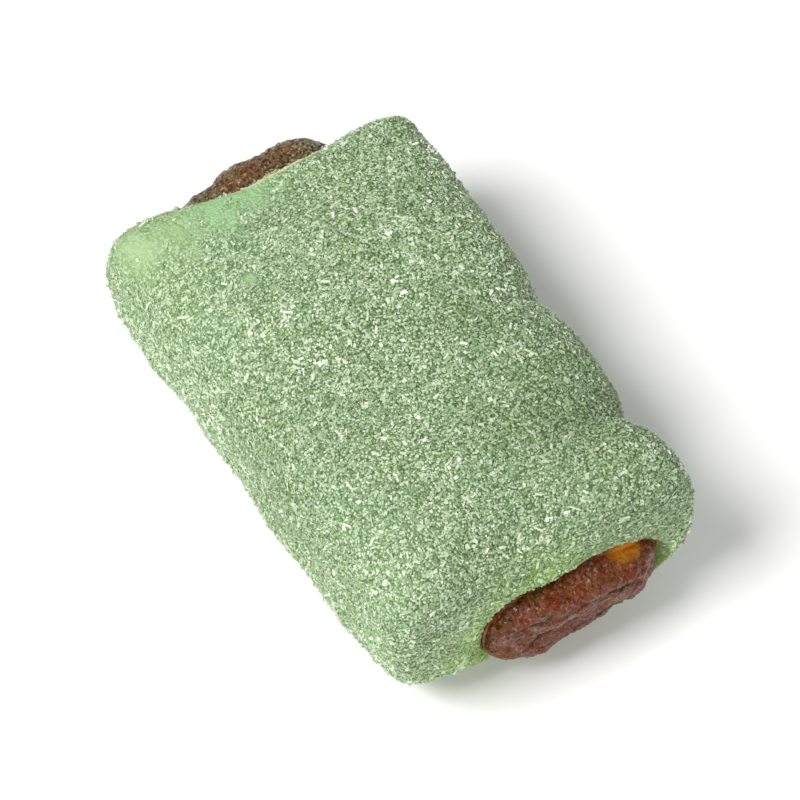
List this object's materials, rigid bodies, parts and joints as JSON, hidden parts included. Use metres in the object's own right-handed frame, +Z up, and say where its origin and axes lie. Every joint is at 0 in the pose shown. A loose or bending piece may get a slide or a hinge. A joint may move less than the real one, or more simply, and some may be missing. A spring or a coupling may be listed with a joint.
{
  "type": "mochi rice cake",
  "caption": "Soft pillow-shaped roll of green glutinous-rice dough dusted with shredded coconut, with sweet red bean paste running through it and showing at both ends.",
  "frame": {"origin": "under the middle of the roll, on the plane of its flat underside", "axes": "+X along the roll, towards its higher end; +Y towards its creased long side; +Z up"},
  "size_m": [0.0666, 0.0413, 0.0274],
  "materials": {
    "coated_dough": "soft, slightly translucent green rice dough, almost covered by pale shreds and dust of dried coconut",
    "bean_paste": "dark reddish-brown sweet bean paste, wet and glossy, with an amber syrup at its rim"
  },
  "bodies": {
    "root": {"dough": "coated_dough", "filling": "bean_paste"}
  },
  "joints": []
}
